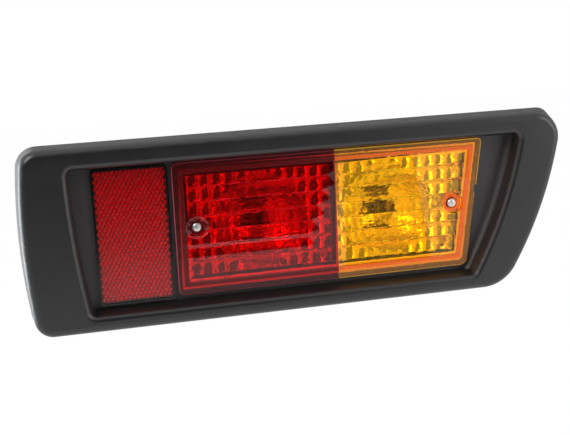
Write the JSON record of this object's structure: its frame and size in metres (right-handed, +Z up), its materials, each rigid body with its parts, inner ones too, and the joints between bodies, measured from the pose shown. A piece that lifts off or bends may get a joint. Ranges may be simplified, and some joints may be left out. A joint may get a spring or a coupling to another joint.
{
  "type": "trailer tail light",
  "caption": "slanted rear combination lamp with a recessed black surround, red stop and tail lens, amber indicator lens, side reflector and bayonet bulbs behind the lenses",
  "frame": {"origin": "centre of the four mounting studs, on the plane of the surround's back edge", "axes": "+X to the slanted end along the lamp's length, +Y backwards into the vehicle, +Z up"},
  "size_m": [0.4028, 0.096, 0.1316],
  "materials": {
    "black_plastic": "satin moulded black",
    "grey_plastic": "moulded dark grey",
    "frame_plastic": "satin black",
    "foam_rubber": "closed-cell foam",
    "seal_rubber": "moulded rubber",
    "red_acrylic": "clear polished red",
    "amber_acrylic": "clear polished amber",
    "red_reflex": "polished red",
    "reflex_backing": "moulded red",
    "bright_reflector": "vacuum-metallised",
    "zinc_steel": "zinc plated",
    "spring_steel": "plain spring steel",
    "brass_strip": "rolled brass",
    "nickel_brass": "nickel plated",
    "phenolic_plate": "brown laminate",
    "base_insulator": "dark moulded glaze",
    "solder": "soft solder",
    "filament_wire": "drawn wire",
    "clear_glass": "clear blown"
  },
  "bodies": {
    "lamp_body": {"bezel": "black_plastic", "housing": "grey_plastic", "housing_screws": "zinc_steel", "panel_seal": "foam_rubber", "lens_gasket": "seal_rubber", "reflex_frame": "frame_plastic", "reflex_lens": "red_reflex", "reflex_backing": "reflex_backing", "reflex_push_nuts": "spring_steel", "stop_tail_reflector": "bright_reflector", "indicator_reflector": "bright_reflector", "reflector_screws": "zinc_steel", "earth_link": "brass_strip", "rear_cover": "grey_plastic", "rear_cover_seal": "seal_rubber", "rear_cover_screws": "zinc_steel", "cable_grommet": "seal_rubber", "mounting_studs": "zinc_steel", "stop_tail_holder_sleeve": "nickel_brass", "stop_tail_contact_plate": "phenolic_plate", "stop_tail_contact_leaves": "brass_strip", "indicator_holder_sleeve": "nickel_brass", "indicator_contact_plate": "phenolic_plate", "indicator_contact_leaves": "brass_strip"},
    "lens": {"red_lens": "red_acrylic", "amber_lens": "amber_acrylic", "lens_screws": "zinc_steel", "lens_screw_seals": "seal_rubber"},
    "stop_tail_bulb": {"stop_tail_bulb_glass": "clear_glass", "stop_tail_bulb_cap": "nickel_brass", "stop_tail_bulb_base": "base_insulator", "stop_tail_bulb_contacts": "solder", "stop_tail_bulb_filaments": "filament_wire"},
    "indicator_bulb": {"indicator_bulb_glass": "clear_glass", "indicator_bulb_cap": "nickel_brass", "indicator_bulb_base": "base_insulator", "indicator_bulb_contacts": "solder", "indicator_bulb_filaments": "filament_wire"}
  },
  "joints": [
    {"name": "lens_lift", "type": "slide", "parent": "lamp_body", "child": "lens", "axis": [0, -1, 0], "range_m": [0, 0.06]},
    {"name": "stop_tail_bulb_turn", "type": "hinge", "parent": "lamp_body", "child": "stop_tail_bulb", "pos_m": [-0.03, 0, 0], "axis": [0, -1, 0], "range_deg": [0, 20]},
    {"name": "indicator_bulb_turn", "type": "hinge", "parent": "lamp_body", "child": "indicator_bulb", "pos_m": [0.0655, 0, 0], "axis": [0, -1, 0], "range_deg": [0, 20]}
  ]
}
